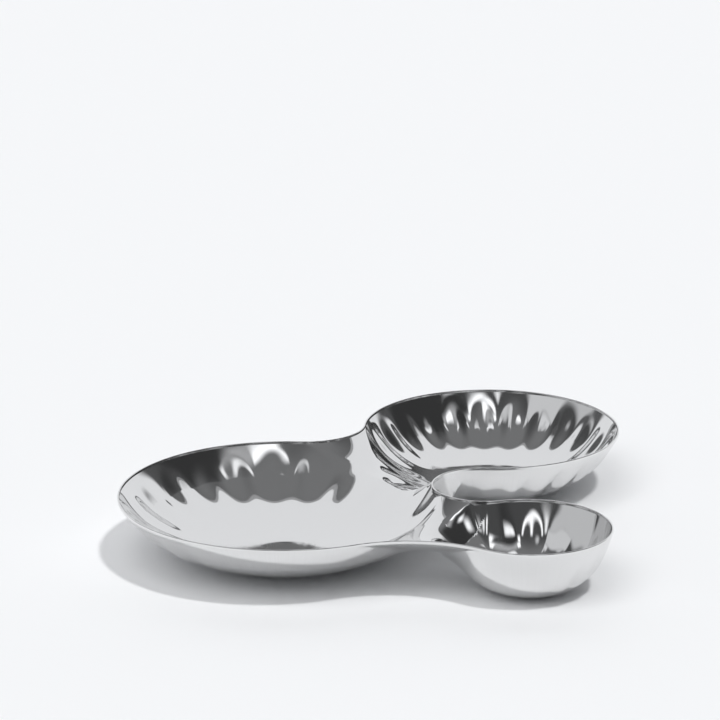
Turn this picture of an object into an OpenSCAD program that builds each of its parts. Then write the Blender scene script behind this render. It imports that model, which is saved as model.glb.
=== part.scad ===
// Divided serving bowl: one polished sheet pressed into three round dishes.
// Each node is one region of that sheet, and the regions meet face to face.
// Lengths are in millimetres, +Z is up, and the origin lies under the middle
// of the plan box, on the surface that the bowl stands on.

/* [Sheet and rim] */
// Height from the table to the top of the rim
bowl_h = 46; // [34:1:60]
// Thickness of the sheet
sheet_t = 1.2; // [0.8:0.1:2]
// Height of the band that finishes the rim
edge_h = 1.6; // [1.2:0.1:3]

/* [Large dish] */
// Radius of the large dish at its rim
large_r = 119; // [105:1:130]
// Radius of the large dish's flat base
large_base_r = 12; // [8:1:18]
// Height of its ripples from their middle line
large_ripple_h = 1; // [0:0.1:1.5]

/* [Medium dish] */
// Radius of the medium dish at its rim
medium_r = 96; // [86:1:106]
// Radius of the medium dish's flat base
medium_base_r = 10; // [7:1:16]
// How far the medium dish's wall reaches out beyond its circle, towards the notch
medium_neck = 26; // [16:1:32]
// Height of its ripples from their middle line
medium_ripple_h = 1.3; // [0:0.1:1.5]
// Direction from the large dish to the medium dish, in degrees from +X
medium_bearing = 45; // [42:1:50]

/* [Small dish] */
// Radius of the small dish at its rim
small_r = 58; // [52:1:64]
// Radius of the small dish's flat base
small_base_r = 6; // [4:1:10]
// How far the small dish's wall reaches out beyond its circle, towards the notch
small_neck = 18; // [12:1:24]
// Height of its ripples from their middle line
small_ripple_h = 0.9; // [0:0.1:1.5]
// Direction from the large dish to the small dish, in degrees from +X
small_bearing = -22.3; // [-26:0.1:-20]
// Space between the rim circles of the large and small dishes
small_gap = 7.4; // [2:0.2:12]

/* [Saddle between the dishes] */
// Depth of the saddle under the rim
saddle_depth = 18; // [14:1:22]
// Distance in from the rim at which the saddle is at full depth
saddle_run = 40; // [32:1:48]
// Depth over which a dish wall rounds over into the saddle
shoulder_h = 14; // [10:1:18]
// Distance past the crest at which a dish wall would meet the rim's level
crest_lap = 8; // [4:1:12]
// Width of the two bridges that part the dishes
bridge_w = 17; // [12:1:22]

/* [Curves of the rim between the dishes] */
// Radius of the rim between the large and medium dishes, at the back
back_fillet_r = 44; // [36:1:56]
// Radius of the rim between the large and small dishes, at the front
front_fillet_r = 84; // [70:1:100]
// Distance of the notch's centre from the line through the medium and small dishes
notch_offset = 21; // [17:1:24]

/* [Ripples in the walls] */
// Number of ripples round the large dish
large_ripples = 24; // [16:1:32]
// Number of ripples round the medium dish
medium_ripples = 24; // [16:1:32]
// Number of ripples round the small dish
small_ripples = 16; // [12:1:24]

/* [Hidden] */
steel = "#c8cbce";

// Wall curve of each dish: the share of its depth that is evenly round, and how late the rest turns up
large_round_share = 0.56;
large_turn_up = 4.95;
medium_round_share = 0.415;
medium_turn_up = 4.9;
small_round_share = 0.385;
small_turn_up = 5.35;

// Narrowness of the dishes' necks, where along a crest they point, and how far up the wall they grow
medium_neck_power = 10;
medium_neck_share = 0.3;
small_neck_power = 6;
small_neck_share = 0.4;
growth_power = 3;
// Depth over which a wall rounds over into the saddle near the rim, as a share of the distance in from it
shoulder_share = 0.8;

// Direction of one ripple of each dish, and how late up the wall the ripples grow
large_ripple_turn = 13.2;
medium_ripple_turn = 9.3;
small_ripple_turn = 6;
ripple_power = 4.5;
// Share of each dish's ripples that is smoothed out round one direction, and that direction
large_calm = [1, 315];
medium_calm = [0, 0];
small_calm = [1, 200];
// Cosines of the angles off that direction where the smoothing starts and where it is full
calm_start_share = -0.2;
calm_full_share = 0.4;
// A second, weaker set with fewer waves makes the ripples uneven
uneven_share = 0.3;
fewer_waves = 5;
// Least lean at which a ray still counts as crossing a crest's line
least_lean_share = 0.05;

// Places of a ray's points, from the flat base to the rim
ring_shares = [0, 0.14, 0.28, 0.41, 0.52, 0.61, 0.69, 0.76, 0.82, 0.88, 0.93, 0.97, 1];
// Places of the points across and along a bridge
across_shares = [0, 0.25, 0.5, 0.75, 1];
along_shares = [0, 0.02, 0.06, 0.12, 0.2, 0.3, 0.4, 0.5, 0.6, 0.7, 0.8, 0.88, 0.94, 0.98, 1];
// Greatest angle between two rays of a dish
ray_step = 3.2;

function unit(a) = [cos(a), sin(a)];
function bearing(v) = atan2(v[1], v[0]);
function turn(a) = a - 360 * floor(a / 360);

// Centre of a circle that touches two circles from outside, on the left of the way from a to b
function touching_centre(a, ra, b, rb, r) =
    let (gap = b - a, span = norm(gap), along = gap / span,
         reach = ((ra + r) ^ 2 - (rb + r) ^ 2 + span ^ 2) / (2 * span),
         off = sqrt((ra + r) ^ 2 - reach ^ 2))
    a + along * reach + [-along[1], along[0]] * off;

// Radius of the circle that touches both circles with its centre this far off their line
function touching_radius(a, ra, b, rb, off) =
    let (span = norm(b - a), lean = (ra - rb) / span,
         start = (span ^ 2 + ra ^ 2 - rb ^ 2) / (2 * span),
         half = ra - start * lean, square_share = 1 - lean ^ 2)
    (sqrt(half ^ 2 + square_share * (start ^ 2 + off ^ 2 - ra ^ 2)) - half) / square_share;

// Plan places, first with the large dish's centre at zero
medium_place = unit(medium_bearing) * (large_r + medium_r);
small_place = unit(small_bearing) * (large_r + small_gap + small_r);
plan_min = [-large_r, min(-large_r, small_place[1] - small_r)];
plan_max = [max(medium_place[0] + medium_r, small_place[0] + small_r), medium_place[1] + medium_r];
large_c = -(plan_min + plan_max) / 2;
out_of_reach = norm(plan_max - plan_min);
medium_c = large_c + medium_place;
small_c = large_c + small_place;

// Rim curves between the dishes
notch_r = touching_radius(medium_c, medium_r, small_c, small_r, notch_offset);
back_c = touching_centre(large_c, large_r, medium_c, medium_r, back_fillet_r);
front_c = touching_centre(small_c, small_r, large_c, large_r, front_fillet_r);
notch_c = touching_centre(small_c, small_r, medium_c, medium_r, notch_r);
back_curve = [back_c, back_fillet_r];
notch_curve = [notch_c, notch_r];
front_curve = [front_c, front_fillet_r];
curves = [back_curve, notch_curve, front_curve];

// Crests between the dishes run from the notch's tip to the curves at the back and the front
function nearest_on(curve, p) = curve[0] + curve[1] * (p - curve[0]) / norm(p - curve[0]);
notch_tip = nearest_on(notch_curve, large_c);
back_crest = nearest_on(back_curve, notch_tip);
front_crest = nearest_on(front_curve, notch_tip);
function along_crest(end, share) = notch_tip + share * (end - notch_tip);

// A neck: its reach, the point it is turned to, and its narrowness
no_neck = [0, notch_tip, 1];

// A dish: its circles, wall curve, ripples, neck, the rim curves on either side, and its crests' ends
large = [
    large_c, large_r, large_base_r, [large_round_share, large_turn_up],
    [large_ripple_h, large_ripples, large_ripple_turn, large_calm],
    no_neck, front_curve, back_curve, [back_crest, front_crest]];
medium = [
    medium_c, medium_r, medium_base_r, [medium_round_share, medium_turn_up],
    [medium_ripple_h, medium_ripples, medium_ripple_turn, medium_calm],
    [medium_neck, along_crest(back_crest, medium_neck_share), medium_neck_power],
    back_curve, notch_curve, [back_crest]];
small = [
    small_c, small_r, small_base_r, [small_round_share, small_turn_up],
    [small_ripple_h, small_ripples, small_ripple_turn, small_calm],
    [small_neck, along_crest(front_crest, small_neck_share), small_neck_power],
    notch_curve, front_curve, [front_crest]];
dishes = [large, medium, small];
function centre(dish) = dish[0];
function rim_r(dish) = dish[1];
function base_r(dish) = dish[2];
function wall_curve(dish) = dish[3];
function ripples(dish) = dish[4];
function neck(dish) = dish[5];
function first_curve(dish) = dish[6];
function last_curve(dish) = dish[7];
function crest_ends(dish) = dish[8];

// A bridge: direction, distance of its middle from the large dish's centre, and its two rim curves
behind = [unit(medium_bearing), large_r, back_curve, notch_curve];
before = [unit(small_bearing), large_r + small_gap / 2, notch_curve, front_curve];

// Larger of two depths, rounded where they are within k of each other
function soft_max(a, b, k) = max(a, b) + (k <= 0 ? 0 : max(k - abs(a - b), 0) ^ 2 / (4 * k));
// Least of a list of lengths, rounded in the same way
function soft_least(list, k, i = 0) =
    i == len(list) - 1 ? list[i] : -soft_max(-list[i], -soft_least(list, k, i + 1), k);

// Share of the way, anticlockwise, from a dish's first rim curve to its last: over 1 on its own circle
function share_between(dish, a) =
    let (low = bearing(first_curve(dish)[0] - centre(dish)),
         high = bearing(last_curve(dish)[0] - centre(dish)))
    turn(a - low) / turn(high - low);
function faces_curves(dish, a) = share_between(dish, a) < 1;

// Distance from a dish's centre to a rim curve, and to the line of a crest, in one direction
function way_to_curve(dish, a, curve) =
    let (way = curve[0] - centre(dish), away = turn(a - bearing(way) + 180) - 180,
         side = norm(way) * sin(away))
    abs(away) > 90 || abs(side) >= curve[1] ? out_of_reach
        : norm(way) * cos(away) - sqrt(curve[1] ^ 2 - side ^ 2);
function way_to_crest(dish, a, end) =
    let (along = end - notch_tip, square = [-along[1], along[0]] / norm(along),
         off = (notch_tip - centre(dish)) * square)
    abs(off) / max(cos(a - bearing(square * off)), least_lean_share);

// Where a dish's wall would meet the rim's level: its circle with a neck, held by crests and rim
function wall_r(dish, a) =
    let (share = share_between(dish, a), k = crest_lap * sin(180 * share) ^ 2, lean = neck(dish),
         near = max(0, cos(a - bearing(lean[1] - centre(dish)))),
         reach = rim_r(dish) + lean[0] * near ^ lean[2])
    share >= 1 ? rim_r(dish) : soft_least(concat(
        [reach],
        [for (end = crest_ends(dish)) way_to_crest(dish, a, end) + crest_lap],
        [for (curve = curves) way_to_curve(dish, a, curve)]), k);

// Ripples of a dish: none at the base or rim, uneven round the wall, and smoothed out on one side
function calm_here(calm, a) =
    let (near_share = (cos(a - calm[1]) - calm_start_share) / (calm_full_share - calm_start_share))
    calm[0] * min(max(near_share, 0), 1);
function ripple(dish, a, share) =
    let (h = ripples(dish)[0], n = ripples(dish)[1], way = a - ripples(dish)[2])
    h * sin(180 * share ^ ripple_power) ^ 2 * (1 - calm_here(ripples(dish)[3], a))
        * (cos(n * way) + uneven_share * cos((n - fewer_waves) * way));

// Depth of a dish's inner face under the rim, at a plan point
function dish_depth(dish, p) =
    let (v = p - centre(dish), a = bearing(v), growth = min(norm(v) / rim_r(dish), 1) ^ growth_power,
         edge_r = rim_r(dish) + (wall_r(dish, a) - rim_r(dish)) * growth - sheet_t,
         share = max(0, (norm(v) - base_r(dish)) / (edge_r - base_r(dish))),
         round_share = wall_curve(dish)[0],
         rise_share = round_share * share ^ 2 + (1 - round_share) * share ^ wall_curve(dish)[1])
    share >= 1 ? edge_h - (norm(v) - edge_r)
        : edge_h + (bowl_h - sheet_t - edge_h) * (1 - rise_share) + ripple(dish, a, share);

// Distance from a plan point in to the nearest rim
function in_from_curves(p) = min([for (c = curves) norm(p - c[0]) - c[1]]);
function in_from_rim(p) =
    let (inside = [for (d = dishes) if (norm(p - centre(d)) < rim_r(d)) d], own = inside[0])
    len(inside) > 0 && !faces_curves(own, bearing(p - centre(own)))
        ? rim_r(own) - norm(p - centre(own)) : in_from_curves(p);

// Depth of the saddle, and of the whole inner face, under the rim
function saddle(inset) = edge_h + (saddle_depth - edge_h) * (1 - (1 - min(inset / saddle_run, 1)) ^ 2);
function depth(p) =
    let (inset = max(0, in_from_rim(p) - sheet_t), k = min(shoulder_h, shoulder_share * inset),
         wall = max([for (d = dishes) dish_depth(d, p)]))
    soft_max(wall, saddle(inset), k);

// A point of the inner face over a plan point, and a point at the rim band's lower edge
function inner_point(p) = [p[0], p[1], bowl_h - depth(p)];
function edge_point(p) = [p[0], p[1], bowl_h - edge_h];

// The outer face's point under an inner one, square to the sheet along the line through its neighbours
function outer_point(before, here, after) =
    let (way = after - before, flat = norm([way[0], way[1]]), len = norm(way))
    here + sheet_t * [way[0] * way[2] / flat, way[1] * way[2] / flat, -flat] / len;
function point_below(here, near) =
    let (way = here - near, flat = norm([way[0], way[1]]))
    here - [0, 0, sheet_t * norm(way) / flat];

// The outer points of a line of inner points, with both ends given
function outer_line(line, first, last) =
    [for (k = [0 : len(line) - 1])
        k == 0 ? first : k == len(line) - 1 ? last : outer_point(line[k - 1], line[k], line[k + 1])];

// Faces of a sheet between inner and outer lines of m points each
function sheet_faces(n, m, closed) =
    let (last = closed ? n - 1 : n - 2, low = n * m)
    [for (i = [0 : last])
        let (a = i * m, b = ((i + 1) % n) * m)
        each concat(
            [for (k = [0 : m - 2]) each [
                [a + k, b + k, b + k + 1], [a + k, b + k + 1, a + k + 1],
                [low + a + k, low + b + k + 1, low + b + k],
                [low + a + k, low + a + k + 1, low + b + k + 1]]],
            [[b, a, low + a, low + b],
             [a + m - 1, b + m - 1, low + b + m - 1, low + a + m - 1]])];
function side_faces(n, m) =
    let (low = n * m, end = (n - 1) * m)
    [for (k = [0 : m - 2]) each [
        [k, k + 1, low + k + 1, low + k],
        [end + k, low + end + k, low + end + k + 1, end + k + 1]]];

module sheet(inner, outer, closed) {
    n = len(inner);
    m = len(inner[0]);
    faces = concat(sheet_faces(n, m, closed), closed ? [] : side_faces(n, m));
    polyhedron(points = concat([for (l = inner) each l], [for (l = outer) each l]), faces = faces);
}

// Where a line across a bridge, x from the large dish's centre, meets the rim at its end of 1 or -1
function bridge_end(bridge, x, end, inset) =
    let (u = bridge[0], v = [-u[1], u[0]], curve = bridge[end > 0 ? 2 : 3], c = curve[0] - large_c)
    large_c + u * x + v * (c * v - end * sqrt((curve[1] + inset) ^ 2 - (x - c * u) ^ 2));

// Edge of a dish's region: pairs of plan points on the inner and outer side of the rim
function steps(dish, a, b) =
    let (swing = turn(bearing(b - centre(dish)) - bearing(a - centre(dish)) + 180) - 180)
    max(2, ceil(abs(swing) / ray_step));
function round_points(curve, inset, a, b, n) =
    let (low = bearing(a - curve[0]), swing = turn(bearing(b - curve[0]) - low + 180) - 180)
    [for (i = [0 : n]) curve[0] + (curve[1] + inset) * unit(low + swing * i / n)];
function rim_zone(dish, curve, a, b) =
    let (n = steps(dish, a[0], b[0]), inner = round_points(curve, sheet_t, a[0], b[0], n),
         outer = round_points(curve, 0, a[1], b[1], n))
    [for (i = [0 : n]) [inner[i], outer[i]]];
function border_zone(dish, a, b) =
    let (n = steps(dish, a[0], b[0]))
    [for (i = [1 : n - 1]) let (p = a[0] + (b[0] - a[0]) * i / n) [p, p]];
function circle_zone(dish) =
    let (low = bearing(last_curve(dish)[0] - centre(dish)),
         swing = turn(bearing(first_curve(dish)[0] - centre(dish)) - low), n = ceil(swing / ray_step))
    [for (i = [0 : n]) rim_pair(dish, low + swing * i / n)];
function between_ends(zone) = [for (i = [1 : len(zone) - 2]) zone[i]];
function rim_pair(dish, a) =
    [centre(dish) + unit(a) * (rim_r(dish) - sheet_t), centre(dish) + unit(a) * rim_r(dish)];
function joining(dish, curve) = rim_pair(dish, bearing(curve[0] - centre(dish)));
function corner(bridge, side, end) =
    let (x = bridge[1] + side * bridge_w / 2)
    [bridge_end(bridge, x, end, sheet_t), bridge_end(bridge, x, end, 0)];

function bridge_zone(bridge, end) =
    [for (k = [1 : len(across_shares) - 2])
        let (x = bridge[1] - end * bridge_w * (across_shares[k] - 0.5))
        [bridge_end(bridge, x, end, sheet_t), bridge_end(bridge, x, end, 0)]];

// Stretches of the rim that lie on each dish between its own circle and a bridge
large_front = rim_zone(large, front_curve, joining(large, front_curve), corner(before, -1, -1));
large_notch = rim_zone(large, notch_curve, corner(before, -1, 1), corner(behind, -1, -1));
large_back = rim_zone(large, back_curve, corner(behind, -1, 1), joining(large, back_curve));
medium_back = rim_zone(medium, back_curve, joining(medium, back_curve), corner(behind, 1, 1));
medium_notch = rim_zone(medium, notch_curve, corner(behind, 1, -1), joining(medium, notch_curve));
small_notch = rim_zone(small, notch_curve, joining(small, notch_curve), corner(before, 1, 1));
small_front = rim_zone(small, front_curve, corner(before, 1, -1), joining(small, front_curve));

// Edge of each dish's region, anticlockwise
large_edge = concat(
    large_front, border_zone(large, corner(before, -1, -1), corner(before, -1, 1)),
    large_notch, border_zone(large, corner(behind, -1, -1), corner(behind, -1, 1)),
    large_back, between_ends(circle_zone(large)));
medium_edge = concat(
    medium_back, border_zone(medium, corner(behind, 1, 1), corner(behind, 1, -1)),
    medium_notch, between_ends(circle_zone(medium)));
small_edge = concat(
    small_notch, border_zone(small, corner(before, 1, 1), corner(before, 1, -1)),
    small_front, between_ends(circle_zone(small)));

// One dish: rays from its flat base out to its edge
module dish_wall(dish, edge) {
    start_r = base_r(dish) / cos(ray_step);
    inner = [for (e = edge)
        let (way = e[0] - centre(dish), reach = norm(way) - start_r)
        [for (s = ring_shares)
            let (p = centre(dish) + way / norm(way) * (start_r + reach * s))
            s == 1 && e[0] != e[1] ? edge_point(p) : inner_point(p)]];
    outer = [for (i = [0 : len(edge) - 1])
        let (line = inner[i], e = edge[i], end = len(line) - 1)
        outer_line(line, line[0] - [0, 0, sheet_t],
                   e[0] == e[1] ? point_below(line[end], line[end - 1]) : edge_point(e[1]))];
    sheet(inner, outer, true);
}

// One bridge: lines across it from rim to rim
module bridge_sheet(bridge) {
    ends = [for (s = across_shares)
        let (x = bridge[1] + bridge_w * (0.5 - s))
        [bridge_end(bridge, x, -1, sheet_t), bridge_end(bridge, x, 1, sheet_t),
         bridge_end(bridge, x, -1, 0), bridge_end(bridge, x, 1, 0)]];
    inner = [for (e = ends) [for (s = along_shares)
        let (p = e[0] + (e[1] - e[0]) * s)
        s == 0 || s == 1 ? edge_point(p) : inner_point(p)]];
    outer = [for (i = [0 : len(ends) - 1])
        outer_line(inner[i], edge_point(ends[i][2]), edge_point(ends[i][3]))];
    sheet(inner, outer, false);
}

module flat_base(dish) {
    translate(centre(dish)) cylinder(r = base_r(dish), h = sheet_t, $fn = 96);
}

// A stretch of the rim band along pairs of inner and outer plan points
module rim_band(pairs) {
    n = len(pairs);
    translate([0, 0, bowl_h - edge_h]) linear_extrude(edge_h)
        polygon([for (i = [0 : 2 * n - 1]) i < n ? pairs[i][1] : pairs[2 * n - 1 - i][0]]);
}

module large_dish() {
    color(steel) dish_wall(large, large_edge);
}

module medium_dish() {
    color(steel) dish_wall(medium, medium_edge);
}

module small_dish() {
    color(steel) dish_wall(small, small_edge);
}

module back_bridge() {
    color(steel) bridge_sheet(behind);
}

module front_bridge() {
    color(steel) bridge_sheet(before);
}

module large_base() {
    color(steel) flat_base(large);
}

module medium_base() {
    color(steel) flat_base(medium);
}

module small_base() {
    color(steel) flat_base(small);
}

module large_rim() {
    color(steel) rim_band(circle_zone(large));
}

module medium_rim() {
    color(steel) rim_band(circle_zone(medium));
}

module small_rim() {
    color(steel) rim_band(circle_zone(small));
}

module back_rim() {
    color(steel) rim_band(concat(medium_back, bridge_zone(behind, 1), large_back));
}

module front_rim() {
    color(steel) rim_band(concat(large_front, bridge_zone(before, -1), small_front));
}

module notch_rim() {
    color(steel) rim_band(concat(small_notch, bridge_zone(before, 1), large_notch,
                                 bridge_zone(behind, -1), medium_notch));
}

large_dish();
medium_dish();
small_dish();
back_bridge();
front_bridge();
large_base();
medium_base();
small_base();
large_rim();
medium_rim();
small_rim();
back_rim();
front_rim();
notch_rim();
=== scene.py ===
"""Divided serving bowl: its looks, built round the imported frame. Lengths are in metres, +Z is up."""

import math

import bpy
import numpy as np
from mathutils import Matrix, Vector


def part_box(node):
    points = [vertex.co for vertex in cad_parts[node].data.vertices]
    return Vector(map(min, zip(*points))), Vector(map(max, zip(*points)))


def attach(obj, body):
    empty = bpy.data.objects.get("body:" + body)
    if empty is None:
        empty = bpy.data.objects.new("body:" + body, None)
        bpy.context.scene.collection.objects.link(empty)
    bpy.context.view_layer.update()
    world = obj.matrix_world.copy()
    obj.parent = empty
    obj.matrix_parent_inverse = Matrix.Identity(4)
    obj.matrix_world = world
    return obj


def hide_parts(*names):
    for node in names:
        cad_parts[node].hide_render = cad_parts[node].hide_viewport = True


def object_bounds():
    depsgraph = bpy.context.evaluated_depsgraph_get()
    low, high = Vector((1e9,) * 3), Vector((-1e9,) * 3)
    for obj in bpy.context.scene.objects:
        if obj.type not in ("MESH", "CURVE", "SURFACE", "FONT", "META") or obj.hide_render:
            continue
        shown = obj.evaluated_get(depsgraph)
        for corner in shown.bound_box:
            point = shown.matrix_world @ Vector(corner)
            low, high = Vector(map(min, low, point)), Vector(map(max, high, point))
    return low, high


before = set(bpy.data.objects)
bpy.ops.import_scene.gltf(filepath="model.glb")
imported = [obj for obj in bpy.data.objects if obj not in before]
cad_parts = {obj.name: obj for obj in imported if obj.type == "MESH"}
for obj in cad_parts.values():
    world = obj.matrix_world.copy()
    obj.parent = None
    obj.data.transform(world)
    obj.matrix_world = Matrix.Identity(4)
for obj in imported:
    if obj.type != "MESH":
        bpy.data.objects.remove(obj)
cad_low, cad_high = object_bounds()

MM = 0.001

# The dishes, in the order of every list below that has a value for each
PARTS = ("large", "medium", "small")
LARGE, MEDIUM, SMALL = range(3)


def base_of(name):
    """Centre and radius of a dish's flat base."""
    low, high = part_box(name + "_base")
    centre = np.array([(low[0] + high[0]) / 2, (low[1] + high[1]) / 2])
    return centre, (high[0] - low[0]) / 2


# Sizes read from the frame
CENTRES = [base_of(name)[0] for name in PARTS]
BASE_R = [base_of(name)[1] for name in PARTS]
RIM_R = [CENTRES[LARGE][0] - cad_low[0], cad_high[1] - CENTRES[MEDIUM][1], CENTRES[SMALL][1] - cad_low[1]]
BOWL_H = cad_high[2]
SHEET_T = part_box("large_base")[1][2]
EDGE_H = BOWL_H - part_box("large_rim")[0][2]

# Form of the walls and the saddle, as in the frame's source
ROUND_SHARES = (0.56, 0.415, 0.385)
WALL_POWERS = (4.95, 4.9, 5.35)
NECK_REACH = (0, 26 * MM, 18 * MM)
NECK_POWERS = (10, 10, 6)
NECK_SHARES = (0, 0.3, 0.4)
GROWTH_POWER = 3
CREST_LAP = 8 * MM
SADDLE_DEPTH = 18 * MM
SADDLE_RUN = 40 * MM
SHOULDER_H = 14 * MM
SHOULDER_SHARE = 0.8
BACK_R = 44 * MM
FRONT_R = 84 * MM
NOTCH_OFFSET = 21 * MM
SMALL_GAP = 7.4 * MM
# Least lean at which a direction still counts as crossing a crest's line
LEAST_LEAN_SHARE = 0.05

# Ripples of each dish: height, number round the dish, and where the first one stands, in degrees
RIPPLE_H = (1.0 * MM, 1.3 * MM, 0.9 * MM)
RIPPLES = (24, 24, 16)
RIPPLE_TURN = (13.2, 9.3, 6.0)
RIPPLE_POWER = 4.5
UNEVEN_SHARE = 0.3
FEWER_WAVES = 5
# Where the ripples are smoothed out: how much, round which bearing, and between which cosines off it
CALM_SHARES = (1, 0, 1)
CALM_BEARINGS = (315, 0, 200)
CALM_EDGE_SHARES = (-0.2, 0.4)

# Stands for no meeting with a curve, and keeps a rounding from being divided by zero
FAR = 1.0
LEAST_ROUNDING = 1e-9
# Step of the slopes: a third of the way to the rim, between these two
STEPS_TO_RIM = 3
LEAST_STEP = 2e-6
MOST_STEP = 5e-5


def unit(angle):
    return np.stack([np.cos(angle), np.sin(angle)], axis=-1)


def turned(angle):
    """The angle, brought into one full turn from zero."""
    return np.mod(angle, 2 * math.pi)


def half_turned(angle):
    """The angle, brought into half a turn on either side of zero."""
    return turned(angle + math.pi) - math.pi


def bearing(v):
    return np.arctan2(v[..., 1], v[..., 0])


def length(v):
    return np.sqrt(np.sum(v * v, axis=-1))


def soft_max(a, b, k):
    """Larger of two values, rounded where they are within k of each other."""
    k = np.maximum(k, LEAST_ROUNDING)
    return np.maximum(a, b) + np.maximum(k - np.abs(a - b), 0) ** 2 / (4 * k)


def soft_min(a, b, k):
    return -soft_max(-a, -b, k)


def touching_centre(a, ra, b, rb, r):
    """Centre of a circle that touches two circles from outside, on the left of the way from a to b."""
    gap = b - a
    span = length(gap)
    along = gap / span
    reach = ((ra + r) ** 2 - (rb + r) ** 2 + span ** 2) / (2 * span)
    off = math.sqrt((ra + r) ** 2 - reach ** 2)
    return a + along * reach + np.array([-along[1], along[0]]) * off


def touching_radius(a, ra, b, rb, off):
    """Radius of the circle that touches both circles with its centre this far off their line."""
    span = length(b - a)
    lean = (ra - rb) / span
    start = (span ** 2 + ra ** 2 - rb ** 2) / (2 * span)
    half = ra - start * lean
    square = 1 - lean ** 2
    return (math.sqrt(half ** 2 + square * (start ** 2 + off ** 2 - ra ** 2)) - half) / square


def curve_between(a, b, r):
    """Centre and radius of the rim curve that joins the circles of two dishes."""
    return touching_centre(CENTRES[a], RIM_R[a], CENTRES[b], RIM_R[b], r), r


# Rim curves between the dishes: centre and radius of each
BACK, NOTCH, FRONT = range(3)
NOTCH_R = touching_radius(CENTRES[MEDIUM], RIM_R[MEDIUM], CENTRES[SMALL], RIM_R[SMALL], NOTCH_OFFSET)
CURVES = [
    curve_between(LARGE, MEDIUM, BACK_R),
    curve_between(SMALL, MEDIUM, NOTCH_R),
    curve_between(SMALL, LARGE, FRONT_R),
]
# The curves on either side of each dish's stretch without a circle of its own, anticlockwise
FIRST_CURVE = (FRONT, BACK, NOTCH)
LAST_CURVE = (BACK, NOTCH, FRONT)
# The curve where the crest beside a dish ends, on its left (1) or right (-1)
CREST_CURVES = {(MEDIUM, 1): BACK, (MEDIUM, -1): NOTCH, (SMALL, 1): NOTCH, (SMALL, -1): FRONT}


def on_circle_towards(centre, r, p):
    """The point of a circle that is nearest to another point."""
    return centre + r * (p - centre) / length(p - centre)


# Crests between the dishes run from the notch's tip to the curves at the back and the front
NOTCH_TIP = on_circle_towards(*CURVES[NOTCH], CENTRES[LARGE])
BACK_CREST = on_circle_towards(*CURVES[BACK], NOTCH_TIP)
FRONT_CREST = on_circle_towards(*CURVES[FRONT], NOTCH_TIP)
CRESTS = ((BACK_CREST, FRONT_CREST), (BACK_CREST,), (FRONT_CREST,))
NECK_END = (
    BACK_CREST,
    NOTCH_TIP + NECK_SHARES[MEDIUM] * (BACK_CREST - NOTCH_TIP),
    NOTCH_TIP + NECK_SHARES[SMALL] * (FRONT_CREST - NOTCH_TIP),
)


def gap_bearings(dish):
    """First and last bearing, anticlockwise, of the stretch where a dish has no circle of its own."""
    low = bearing(CURVES[FIRST_CURVE[dish]][0] - CENTRES[dish])
    high = bearing(CURVES[LAST_CURVE[dish]][0] - CENTRES[dish])
    return low, high


def way_to_curve(dish, angle, curve):
    """Distance from a dish's centre to a rim curve, in a direction; far where it misses the curve."""
    centre, r = CURVES[curve]
    way = centre - CENTRES[dish]
    away = half_turned(angle - bearing(way))
    side = length(way) * np.sin(away)
    out = length(way) * np.cos(away) - np.sqrt(np.maximum(r ** 2 - side ** 2, 0))
    return np.where((np.abs(away) < math.pi / 2) & (np.abs(side) < r), out, FAR)


def way_to_crest(dish, angle, end):
    """Distance from a dish's centre to the line of a crest, in a direction."""
    along = end - NOTCH_TIP
    across = np.array([-along[1], along[0]]) / length(along)
    off = np.dot(NOTCH_TIP - CENTRES[dish], across)
    return np.abs(off) / np.maximum(np.cos(angle - bearing(across * off)), LEAST_LEAN_SHARE)


def wall_radius(dish, angle):
    """Where a dish's wall would meet the rim's level: its circle, with a neck, held by crests and rim."""
    low, high = gap_bearings(dish)
    share = turned(angle - low) / turned(high - low)
    facing = share < 1
    near = np.maximum(0, np.cos(angle - bearing(NECK_END[dish] - CENTRES[dish])))
    reach = RIM_R[dish] + NECK_REACH[dish] * near ** NECK_POWERS[dish]
    k = CREST_LAP * np.where(facing, np.sin(math.pi * share) ** 2, 0)
    for end in CRESTS[dish]:
        reach = soft_min(reach, way_to_crest(dish, angle, end) + CREST_LAP, k)
    for curve in range(len(CURVES)):
        reach = soft_min(reach, way_to_curve(dish, angle, curve), k)
    return np.where(facing, reach, RIM_R[dish])


def ripple(dish, angle, share):
    """Ripples of a dish: in the upper part of its wall, and none at the rim."""
    count = RIPPLES[dish]
    fade = np.sin(math.pi * np.clip(share, 0, 1) ** RIPPLE_POWER) ** 2
    turn = angle - math.radians(RIPPLE_TURN[dish])
    wave = np.cos(count * turn) + UNEVEN_SHARE * np.cos((count - FEWER_WAVES) * turn)
    low, high = CALM_EDGE_SHARES
    near = np.cos(angle - math.radians(CALM_BEARINGS[dish]))
    calm = CALM_SHARES[dish] * np.clip((near - low) / (high - low), 0, 1)
    return RIPPLE_H[dish] * fade * (1 - calm) * wave


def dish_depth(dish, p):
    """Depth of one dish's inner face under the rim, at plan points."""
    v = p - CENTRES[dish]
    angle = bearing(v)
    out = length(v)
    grown = np.minimum(out / RIM_R[dish], 1) ** GROWTH_POWER
    edge_r = RIM_R[dish] + (wall_radius(dish, angle) - RIM_R[dish]) * grown - SHEET_T
    share = np.maximum(0, (out - BASE_R[dish]) / (edge_r - BASE_R[dish]))
    full = BOWL_H - SHEET_T - EDGE_H
    rest = 1 - ROUND_SHARES[dish] * share ** 2 - (1 - ROUND_SHARES[dish]) * share ** WALL_POWERS[dish]
    inside = EDGE_H + full * rest + ripple(dish, angle, share)
    return np.where(share >= 1, EDGE_H - (out - edge_r), inside)


def faces_curves(dish, angle):
    """Whether a direction from a dish's centre meets a curve between dishes, not its own circle."""
    low, high = gap_bearings(dish)
    return turned(angle - low) < turned(high - low)


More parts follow.
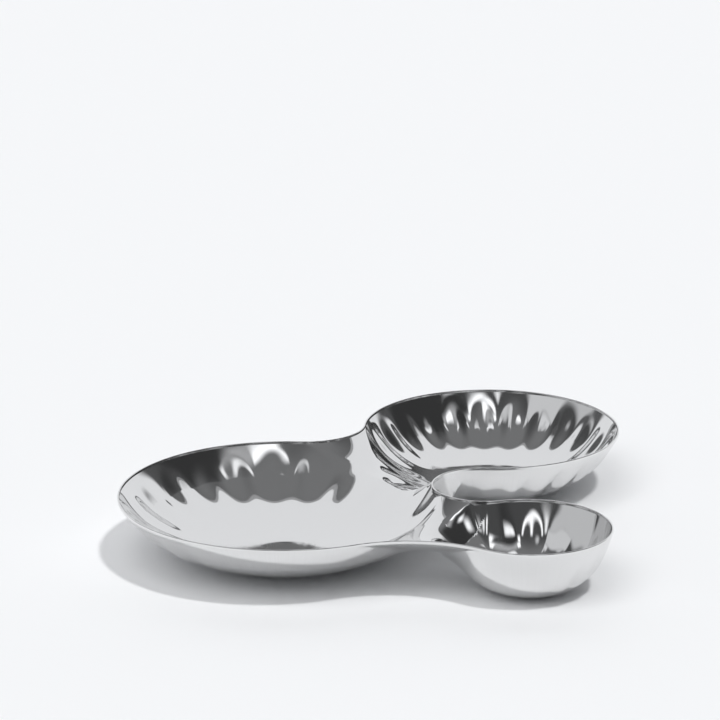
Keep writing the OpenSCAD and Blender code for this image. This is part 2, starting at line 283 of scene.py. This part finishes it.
def in_from_rim(p):
    """Distance from plan points in to the nearest rim."""
    inset = np.min([length(p - centre) - r for centre, r in CURVES], axis=0)
    for dish in range(len(PARTS)):
        v = p - CENTRES[dish]
        own = (length(v) < RIM_R[dish]) & ~faces_curves(dish, bearing(v))
        inset = np.where(own, RIM_R[dish] - length(v), inset)
    return inset


def depth(p):
    """Depth of the whole inner face under the rim."""
    inset = np.maximum(0, in_from_rim(p) - SHEET_T)
    wall = np.max([dish_depth(dish, p) for dish in range(len(PARTS))], axis=0)
    saddle = EDGE_H + (SADDLE_DEPTH - EDGE_H) * (1 - (1 - np.minimum(inset / SADDLE_RUN, 1)) ** 2)
    return soft_max(wall, saddle, np.minimum(SHOULDER_H, SHOULDER_SHARE * inset))


def surface(p):
    """Points of the inner face over plan points, and the face's normals there."""
    step = np.clip((in_from_rim(p) - SHEET_T) / STEPS_TO_RIM, LEAST_STEP, MOST_STEP)
    ex = np.stack([step, np.zeros_like(step)], axis=-1)
    ey = ex[..., ::-1]
    normal = np.stack([
        (depth(p + ex) - depth(p - ex)) / (2 * step),
        (depth(p + ey) - depth(p - ey)) / (2 * step),
        np.ones_like(step)], axis=-1)
    normal /= length(normal)[..., None]
    point = np.concatenate([p, (BOWL_H - depth(p))[..., None]], axis=-1)
    return point, normal


# Plan edges of the three dishes' shares of the sheet: they part along the crests between dishes
def crest_end(other, end, inset):
    """Where the crest between the large dish and another meets the rim, on its left (1) or right (-1)."""
    way = CENTRES[other] - CENTRES[LARGE]
    u = way / length(way)
    v = np.array([-u[1], u[0]])
    middle = RIM_R[LARGE] + (SMALL_GAP / 2 if other == SMALL else 0)
    centre, r = CURVES[CREST_CURVES[other, end]]
    c = centre - CENTRES[LARGE]
    along = np.dot(c, v) - end * math.sqrt((r + inset) ** 2 - (middle - np.dot(c, u)) ** 2)
    return CENTRES[LARGE] + u * middle + v * along


def crest(other, end):
    """Inner and outer rim point at an end of a crest."""
    return crest_end(other, end, SHEET_T), crest_end(other, end, 0.0)


def joining(dish, curve):
    """Inner and outer rim point where a dish's circle meets a curve."""
    way = unit(bearing(CURVES[curve][0] - CENTRES[dish]))
    return CENTRES[dish] + way * (RIM_R[dish] - SHEET_T), CENTRES[dish] + way * RIM_R[dish]


def curve_points(curve, a, b, count):
    """Pairs of inner and outer rim points along a curve between dishes."""
    centre, r = CURVES[curve]
    pairs = []
    for side, inset in ((0, SHEET_T), (1, 0.0)):
        low = bearing(a[side] - centre)
        swing = half_turned(bearing(b[side] - centre) - low)
        angles = low + swing * np.arange(count + 1) / count
        pairs.append(centre + (r + inset) * unit(angles))
    return np.stack(pairs, axis=1)


def circle_points(dish, count):
    """Pairs of inner and outer rim points along a dish's own circle."""
    first, last = gap_bearings(dish)
    way = unit(last + turned(first - last) * np.arange(count + 1) / count)
    inner = CENTRES[dish] + way * (RIM_R[dish] - SHEET_T)
    outer = CENTRES[dish] + way * RIM_R[dish]
    return np.stack([inner, outer], axis=1)


# Steps of the mesh: down each crest, round each circle, along each curve, out from each dish's centre,
# and over the rim's round top
CREST_STEPS = {MEDIUM: 130, SMALL: 110}
CIRCLE_STEPS = (360, 400, 260)
CURVE_STEPS = 48
RINGS = (100, 84, 64)
LIP_STEPS = 10
# How much closer the steps stand near a crest's ends, and towards the rim
CREST_EASE = 0.5
RING_EASE = 1.4


def crest_points(other):
    """Plan points down a crest, between its left and right ends, closer together near the ends."""
    a, b = crest(other, 1)[0], crest(other, -1)[0]
    share = np.arange(1, CREST_STEPS[other])[:, None] / CREST_STEPS[other]
    share = share - CREST_EASE * np.sin(2 * math.pi * share) / (2 * math.pi)
    line = a + (b - a) * share
    return np.stack([line, line], axis=1)


CIRCLES = [circle_points(dish, CIRCLE_STEPS[dish]) for dish in range(len(PARTS))]
MEDIUM_CREST = crest_points(MEDIUM)
SMALL_CREST = crest_points(SMALL)
LARGE_FRONT = curve_points(FRONT, joining(LARGE, FRONT), crest(SMALL, -1), CURVE_STEPS)
LARGE_NOTCH = curve_points(NOTCH, crest(SMALL, 1), crest(MEDIUM, -1), 2 * CURVE_STEPS)
LARGE_BACK = curve_points(BACK, crest(MEDIUM, 1), joining(LARGE, BACK), CURVE_STEPS)
MEDIUM_BACK = curve_points(BACK, joining(MEDIUM, BACK), crest(MEDIUM, 1), CURVE_STEPS)
MEDIUM_NOTCH = curve_points(NOTCH, crest(MEDIUM, -1), joining(MEDIUM, NOTCH), CURVE_STEPS)
SMALL_NOTCH = curve_points(NOTCH, joining(SMALL, NOTCH), crest(SMALL, 1), CURVE_STEPS)
SMALL_FRONT = curve_points(FRONT, crest(SMALL, -1), joining(SMALL, FRONT), CURVE_STEPS)

# Edge of each dish's share: its stretches, anticlockwise, and whether each lies on the rim
EDGES = (
    (
        (LARGE_FRONT, True),
        (SMALL_CREST[::-1], False),
        (LARGE_NOTCH, True),
        (MEDIUM_CREST[::-1], False),
        (LARGE_BACK, True),
        (CIRCLES[LARGE][1:-1], True),
    ),
    (
        (MEDIUM_BACK, True),
        (MEDIUM_CREST, False),
        (MEDIUM_NOTCH, True),
        (CIRCLES[MEDIUM][1:-1], True),
    ),
    (
        (SMALL_NOTCH, True),
        (SMALL_CREST, False),
        (SMALL_FRONT, True),
        (CIRCLES[SMALL][1:-1], True),
    ),
)

# Stretches of the rim under the names of the frame's nodes
RIMS = {
    "large_rim": CIRCLES[LARGE],
    "medium_rim": CIRCLES[MEDIUM],
    "small_rim": CIRCLES[SMALL],
    "back_rim": np.concatenate([MEDIUM_BACK, LARGE_BACK[1:]]),
    "front_rim": np.concatenate([LARGE_FRONT, SMALL_FRONT[1:]]),
    "notch_rim": np.concatenate([SMALL_NOTCH, LARGE_NOTCH[1:], MEDIUM_NOTCH[1:]]),
}


def ring_shares(count):
    """Shares of a ray's length, closer together towards the rim where the wall turns up."""
    return 1 - (1 - np.arange(1, count + 1) / count) ** RING_EASE


def sheet_faces(rays, rings):
    """Faces of a share of the sheet: the two middle points come first, then the inner and outer points."""
    first_inner, first_outer = 2, 2 + rays * rings
    i = np.arange(rays)
    j = (i + 1) % rays
    faces = [
        np.stack([np.zeros_like(i), first_inner + i * rings, first_inner + j * rings], axis=1),
        np.stack([np.ones_like(i), first_outer + j * rings, first_outer + i * rings], axis=1),
    ]
    for k in range(rings - 1):
        a, b = i * rings + k, j * rings + k
        faces.append(first_inner + np.stack([a, a + 1, b + 1, b], axis=1))
        faces.append(first_outer + np.stack([a, b, b + 1, a + 1], axis=1))
    a, b = i * rings + rings - 1, j * rings + rings - 1
    faces.append(np.stack([first_inner + a, first_outer + a, first_outer + b, first_inner + b], axis=1))
    return [tuple(face) for block in faces for face in block.tolist()]


def sheet_shape(dish):
    """One dish's share of the sheet: points of both faces, their normals, and quads and triangles."""
    pairs = np.concatenate([points for points, _ in EDGES[dish]])
    on_rim = np.concatenate([np.full(len(points), rim) for points, rim in EDGES[dish]])
    centre = CENTRES[dish]
    way = pairs[:, 0] - centre
    plan = centre + way[:, None, :] * ring_shares(RINGS[dish])[None, :, None]
    inner, normal = surface(plan)
    out = pairs[on_rim, 1] - pairs[on_rim, 0]
    out /= length(out)[:, None]
    normal[on_rim, -1] = np.concatenate([-out, np.zeros((len(out), 1))], axis=1)
    inner[on_rim, -1, 2] = BOWL_H - EDGE_H
    outer = inner - normal * SHEET_T
    outer[on_rim, -1, :2] = pairs[on_rim, 1]
    outer[on_rim, -1, 2] = BOWL_H - EDGE_H
    middle, middle_normal = surface(centre[None])
    points = [middle, middle - middle_normal * SHEET_T, inner.reshape(-1, 3), outer.reshape(-1, 3)]
    normals = [middle_normal, -middle_normal, normal.reshape(-1, 3), -normal.reshape(-1, 3)]
    return np.concatenate(points), np.concatenate(normals), sheet_faces(*inner.shape[:2])


def rim_shape(pairs):
    """One stretch of the rim: a band with a round top, closed below and at its ends."""
    turns = math.pi * np.arange(LIP_STEPS + 1) / LIP_STEPS
    low = BOWL_H - EDGE_H
    across = np.concatenate([[0], (1 - np.cos(turns)) / 2, [1]])
    height = np.concatenate([[low], BOWL_H + (np.sin(turns) - 1) * SHEET_T / 2, [low]])
    flat = np.concatenate([[-1], -np.cos(turns), [1]])
    rise = np.concatenate([[0], np.sin(turns), [0]])
    out = pairs[:, 1] - pairs[:, 0]
    out /= length(out)[:, None]
    rows, columns = len(pairs), len(across)
    upright = (rows, columns, 1)
    plan = pairs[:, :1] + (pairs[:, 1:] - pairs[:, :1]) * across[None, :, None]
    points = np.concatenate([plan, np.broadcast_to(height[None, :, None], upright)], axis=2)
    lean = out[:, None] * flat[None, :, None]
    normals = np.concatenate([lean, np.broadcast_to(rise[None, :, None], upright)], axis=2)
    faces = [(columns * i + k, columns * i + (k + 1) % columns,
              columns * (i + 1) + (k + 1) % columns, columns * (i + 1) + k)
             for i in range(rows - 1) for k in range(columns)]
    faces.append(tuple(range(columns))[::-1])
    faces.append(tuple(columns * (rows - 1) + k for k in range(columns)))
    return points.reshape(-1, 3), normals.reshape(-1, 3), faces


def add_piece(name, shape, nodes):
    """A piece of the scene with true normals, in place of these nodes of the frame."""
    points, normals, faces = shape
    mesh = bpy.data.meshes.new(name)
    mesh.from_pydata(points.tolist(), [], faces)
    mesh.polygons.foreach_set("use_smooth", [True] * len(mesh.polygons))
    mesh.normals_split_custom_set_from_vertices(normals.tolist())
    mesh.update()
    piece = bpy.data.objects.new(name, mesh)
    bpy.context.scene.collection.objects.link(piece)
    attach(piece, "root")
    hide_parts(*nodes)
    return piece


def mark_centre(piece, dish):
    """Store the dish's centre on the mesh, for the polishing lines that run out from it."""
    mesh = piece.data
    mesh.attributes.new("dish_centre", "FLOAT_VECTOR", "POINT")
    centres = np.tile((*CENTRES[dish], 0), (len(mesh.vertices), 1))
    mesh.attributes["dish_centre"].data.foreach_set("vector", centres.ravel())


STEEL_COLOUR = (0.79, 0.79, 0.79)
# Polishing lines: how many fit round a dish and along a wall, their height, and slower waves of the sheet
LINES_SCALE = 90.0
RUN_SCALE = 25.0
LINES_H = 0.003 * MM
LINES_DETAIL = 3.0
WAVES_SCALE = 22.0
WAVES_H = 0.03 * MM
WAVES_DETAIL = 1.0
# Roughness of the polish: the line heights between which it grows, and its least and greatest value
POLISH_LINES = (0.3, 0.8)
POLISH_ROUGHNESS = (0.02, 0.07)
# Haze in streaks along the lines: how many round a dish and along a wall, where they begin and are full,
# the least and greatest share, and the haze's roughness
STREAK_SCALE = 150.0
STREAK_RUN = 12.0
STREAK_NOISE = (0.4, 0.75)
HAZE_SHARES = (0.025, 0.05)
HAZE_ROUGHNESS = 0.28
# Scratches of the rim's edge: how fine, and the roughness that they give between two levels of the noise
EDGE_SCALE = 900.0
EDGE_DETAIL = 3.0
EDGE_NOISE = (0.3, 0.7)
EDGE_ROUGHNESS = (0.08, 0.16)


class Graph:
    """Short ways to add shader nodes and wire them."""

    def __init__(self, tree):
        self.tree = tree
        tree.nodes.clear()

    def add(self, kind, **values):
        node = self.tree.nodes.new(kind)
        for name, value in values.items():
            setattr(node, name, value)
        return node

    def put(self, socket, value):
        if isinstance(value, bpy.types.NodeSocket):
            self.tree.links.new(value, socket)
        else:
            socket.default_value = value

    def math(self, operation, *values):
        node = self.add("ShaderNodeMath", operation=operation)
        for socket, value in zip(node.inputs, values):
            self.put(socket, value)
        return node.outputs[0]

    def vector(self, operation, first, second=None):
        node = self.add("ShaderNodeVectorMath", operation=operation)
        self.put(node.inputs[0], first)
        if second is not None:
            self.put(node.inputs["Scale" if operation == "SCALE" else 1], second)
        return node.outputs["Value" if operation == "LENGTH" else 0]

    def noise(self, place, scale, detail):
        node = self.add("ShaderNodeTexNoise")
        self.put(node.inputs["Vector"], place)
        self.put(node.inputs["Scale"], scale)
        self.put(node.inputs["Detail"], detail)
        return node.outputs[0]

    def ramp(self, value, low, high, out_low=0.0, out_high=1.0):
        """A smooth step of value from low to high."""
        node = self.add("ShaderNodeMapRange", interpolation_type="SMOOTHSTEP")
        for socket, v in zip(node.inputs[:5], (value, low, high, out_low, out_high)):
            self.put(socket, v)
        return node.outputs[0]

    def mix(self, share, a, b):
        """Number a where share is 0, and b where it is 1."""
        node = self.add("ShaderNodeMix", data_type="FLOAT")
        for socket, v in zip(node.inputs[:1] + node.inputs[2:4], (share, a, b)):
            self.put(socket, v)
        return node.outputs[0]

    def steel(self, roughness):
        """A shader node for bare steel."""
        node = self.add("ShaderNodeBsdfPrincipled")
        node.inputs["Metallic"].default_value = 1.0
        node.inputs["Base Color"].default_value = (*STEEL_COLOUR, 1)
        self.put(node.inputs["Roughness"], roughness)
        return node


def steel_material():
    """Mirror-polished steel with fine polishing lines that run out from each dish's centre."""
    material = bpy.data.materials.new("mirror_steel")
    material.use_nodes = True
    g = Graph(material.node_tree)
    place = g.add("ShaderNodeTexCoord").outputs["Object"]
    centre = g.add("ShaderNodeAttribute", attribute_name="dish_centre").outputs["Vector"]
    way = g.vector("MULTIPLY", g.vector("SUBTRACT", place, centre), (1, 1, 0))
    out = g.vector("LENGTH", way)

    def spokes(around, along):
        """Noise drawn out into lines from the dish's centre."""
        turn = g.vector("SCALE", g.vector("NORMALIZE", way), around)
        run = g.vector("SCALE", (0, 0, 1), g.math("MULTIPLY", out, along))
        return g.noise(g.vector("ADD", turn, run), 1.0, LINES_DETAIL)

    lines = spokes(LINES_SCALE, RUN_SCALE)
    waves = g.noise(place, WAVES_SCALE, WAVES_DETAIL)
    height = g.math("ADD", g.math("MULTIPLY", lines, LINES_H), g.math("MULTIPLY", waves, WAVES_H))
    bump = g.add("ShaderNodeBump")
    bump.inputs["Strength"].default_value = 1.0
    bump.inputs["Distance"].default_value = 1.0
    g.put(bump.inputs["Height"], height)

    def layer(roughness):
        shader = g.steel(roughness)
        g.put(shader.inputs["Normal"], bump.outputs[0])
        return shader.outputs[0]

    mix = g.add("ShaderNodeMixShader")
    g.put(mix.inputs[0], g.ramp(spokes(STREAK_SCALE, STREAK_RUN), *STREAK_NOISE, *HAZE_SHARES))
    g.put(mix.inputs[1], layer(g.ramp(lines, *POLISH_LINES, *POLISH_ROUGHNESS)))
    g.put(mix.inputs[2], layer(HAZE_ROUGHNESS))
    g.put(g.add("ShaderNodeOutputMaterial").inputs["Surface"], mix.outputs[0])
    return material


def edge_material():
    """Steel of the rounded edge, with fine scratches of its polishing."""
    material = bpy.data.materials.new("edge_steel")
    material.use_nodes = True
    g = Graph(material.node_tree)
    place = g.add("ShaderNodeTexCoord").outputs["Object"]
    scratches = g.noise(place, EDGE_SCALE, EDGE_DETAIL)
    shader = g.steel(g.ramp(scratches, *EDGE_NOISE, *EDGE_ROUGHNESS))
    g.put(g.add("ShaderNodeOutputMaterial").inputs["Surface"], shader.outputs[0])
    return material


# The large dish's share of the sheet takes in both bridges
BRIDGES = ("back_bridge", "front_bridge")
steel = steel_material()
for dish, name in enumerate(PARTS):
    nodes = (name + "_dish", name + "_base") + (BRIDGES if dish == LARGE else ())
    piece = add_piece(name + "_sheet", sheet_shape(dish), nodes)
    mark_centre(piece, dish)
    piece.data.materials.append(steel)
edge_steel = edge_material()
for name, pairs in RIMS.items():
    piece = add_piece(name + "_lip", rim_shape(pairs), (name,))
    piece.data.materials.append(edge_steel)

FLOOR_HALF = 12.0
FLOOR_COLOUR = (0.895, 0.902, 0.912)


def add_floor():
    """Plain white floor, wide enough to fill the picture to its top."""
    half = FLOOR_HALF
    corners = [(-half, -half, 0), (half, -half, 0), (half, half, 0), (-half, half, 0)]
    mesh = bpy.data.meshes.new("floor")
    mesh.from_pydata(corners, [], [(0, 1, 2, 3)])
    floor = bpy.data.objects.new("floor", mesh)
    bpy.context.scene.collection.objects.link(floor)
    material = bpy.data.materials.new("floor_white")
    material.use_nodes = True
    shader = material.node_tree.nodes["Principled BSDF"]
    shader.inputs["Base Color"].default_value = (*FLOOR_COLOUR, 1)
    shader.inputs["Roughness"].default_value = 1.0
    shader.inputs["Specular IOR Level"].default_value = 0.0
    mesh.materials.append(material)


WORLD_COLOUR = (0.885, 0.895, 0.915)
# The studio's dark front: its level low down and high up, and the heights between, in degrees
FRONT_LEVELS = (0.08, 0.22)
FRONT_HEIGHTS = (35.0, 75.0)
# The background: how far back a direction points where its grey border and its white begin, and their levels
BORDER_BACK = (0.375, 0.39)
BORDER_LEVEL = 0.4
WHITE_BACK = (0.417, 0.427)
WHITE_LEVEL = 0.97
# Level that the camera itself would see past the floor
CAMERA_LEVEL = 0.925
# Patches of the studio: middle and half width round the bowl, middle and half height, softness, level
STUDIO_PATCHES = (
    (70.0, 40.0, 22.0, 34.0, 10.0, 0.045),
    (-85.0, 38.0, 2.0, 26.0, 5.0, 0.65),
    (-60.0, 20.0, 38.0, 12.0, 4.0, 0.75),
    (-52.0, 14.0, 57.0, 7.0, 5.0, 0.85),
    (-27.0, 6.0, 24.0, 9.0, 5.0, 1.2),
    (40.0, 18.0, 55.0, 6.0, 6.0, 0.5),
    (14.0, 8.0, 46.0, 6.0, 5.0, 1.6),
    (21.0, 13.0, 57.0, 5.0, 4.0, 1.6),
    (65.0, 6.0, 63.0, 6.0, 4.0, 1.2),
    (-8.0, 3.0, 30.0, 9.0, 3.0, 1.6),
    (42.0, 5.0, 30.0, 5.0, 4.0, 1.4),
    (-42.0, 5.0, 68.0, 4.0, 4.0, 0.9),
)
# Dark corners of the studio, on either side of the white background
CORNER_PATCHES = (
    (118.0, 8.0, 10.0, 24.0, 5.0, 0.1),
    (-120.0, 7.0, 24.0, 16.0, 4.0, 0.12),
)


def add_world():
    """Studio round the bowl: white behind, light grey at the left, dark in front and at the right."""
    world = bpy.data.worlds.new("studio")
    world.use_nodes = True
    bpy.context.scene.world = world
    g = Graph(world.node_tree)
    way = g.add("ShaderNodeTexCoord").outputs["Generated"]
    split = g.add("ShaderNodeSeparateXYZ")
    g.put(split.inputs[0], way)
    x, y, z = split.outputs
    azimuth = g.math("DEGREES", g.math("ARCTAN2", x, g.math("MULTIPLY", y, -1.0)))
    height = g.math("DEGREES", g.math("ARCSINE", z))

    def patched(level, patches):
        """The level with patches laid over it, given by their middles and half sizes in degrees."""
        for az, az_half, el, el_half, soft, value in patches:
            da = g.math("ABSOLUTE", g.math("SUBTRACT", azimuth, az))
            de = g.math("ABSOLUTE", g.math("SUBTRACT", height, el))
            wide = g.ramp(da, az_half + soft, az_half - soft)
            high = g.ramp(de, el_half + soft, el_half - soft)
            level = g.mix(g.math("MULTIPLY", wide, high), level, value)
        return level

    level = g.mix(g.ramp(height, *FRONT_HEIGHTS), *FRONT_LEVELS)
    level = patched(level, STUDIO_PATCHES)
    level = g.mix(g.ramp(y, *BORDER_BACK), level, BORDER_LEVEL)
    level = g.mix(g.ramp(y, *WHITE_BACK), level, WHITE_LEVEL)
    level = patched(level, CORNER_PATCHES)
    camera = g.add("ShaderNodeLightPath").outputs["Is Camera Ray"]
    level = g.mix(camera, level, CAMERA_LEVEL)
    back = g.add("ShaderNodeBackground")
    back.inputs["Color"].default_value = (*WORLD_COLOUR, 1)
    g.put(back.inputs["Strength"], level)
    out = g.add("ShaderNodeOutputWorld")
    g.put(out.inputs["Surface"], back.outputs[0])


# Lamps: the direction that each stands in, its strength, and its size in degrees
KEY_LAMP = ((0.33, -0.37, 1.0), 1.31, 5)
FILL_LAMP = ((-0.3, -0.5, 0.85), 1.0, 45)


def add_light(name, towards, energy, angle):
    """A lamp far away, which doesn't show in reflections."""
    light = bpy.data.lights.new(name, "SUN")
    light.energy = energy
    light.angle = math.radians(angle)
    lamp = bpy.data.objects.new(name, light)
    lamp.visible_glossy = False
    lamp.rotation_euler = Vector(towards).to_track_quat("Z", "Y").to_euler()
    bpy.context.scene.collection.objects.link(lamp)


# Camera: a long lens, set from the photograph's rim circles. The large circle's radius gives its distance.
IMAGE_PX = 720
FOCAL_PX = 3500.0
AXIS_ROW_PX = 495.0
LARGE_R_MM = 119
LARGE_R_PX = 167.5
CAMERA_DISTANCE = FOCAL_PX * LARGE_R_MM / LARGE_R_PX * MM
CAMERA_RISE = math.radians(19.04)
AIM_FROM_LARGE = np.array([53.28, -4.40]) * MM
SENSOR = 36.0
FARTHEST_SEEN = 100


def add_camera():
    """Camera in front of the bowl, tipped up so that the bowl stands low in the picture."""
    aim = Vector((*(CENTRES[LARGE] + AIM_FROM_LARGE), BOWL_H))
    back = Vector((0, -math.cos(CAMERA_RISE), math.sin(CAMERA_RISE)))
    camera = bpy.data.cameras.new("camera")
    camera.sensor_width = SENSOR
    lift = math.atan((AXIS_ROW_PX - IMAGE_PX / 2) / FOCAL_PX)
    camera.lens = FOCAL_PX / IMAGE_PX * SENSOR / math.cos(lift)
    camera.clip_end = FARTHEST_SEEN
    body = bpy.data.objects.new("camera", camera)
    body.location = aim + back * CAMERA_DISTANCE
    body.rotation_euler = (math.pi / 2 - CAMERA_RISE + lift, 0, 0)
    bpy.context.scene.collection.objects.link(body)
    bpy.context.scene.camera = body


add_floor()
add_world()
add_light("key", *KEY_LAMP)
add_light("fill", *FILL_LAMP)
add_camera()
bpy.context.scene.view_settings.view_transform = "Standard"
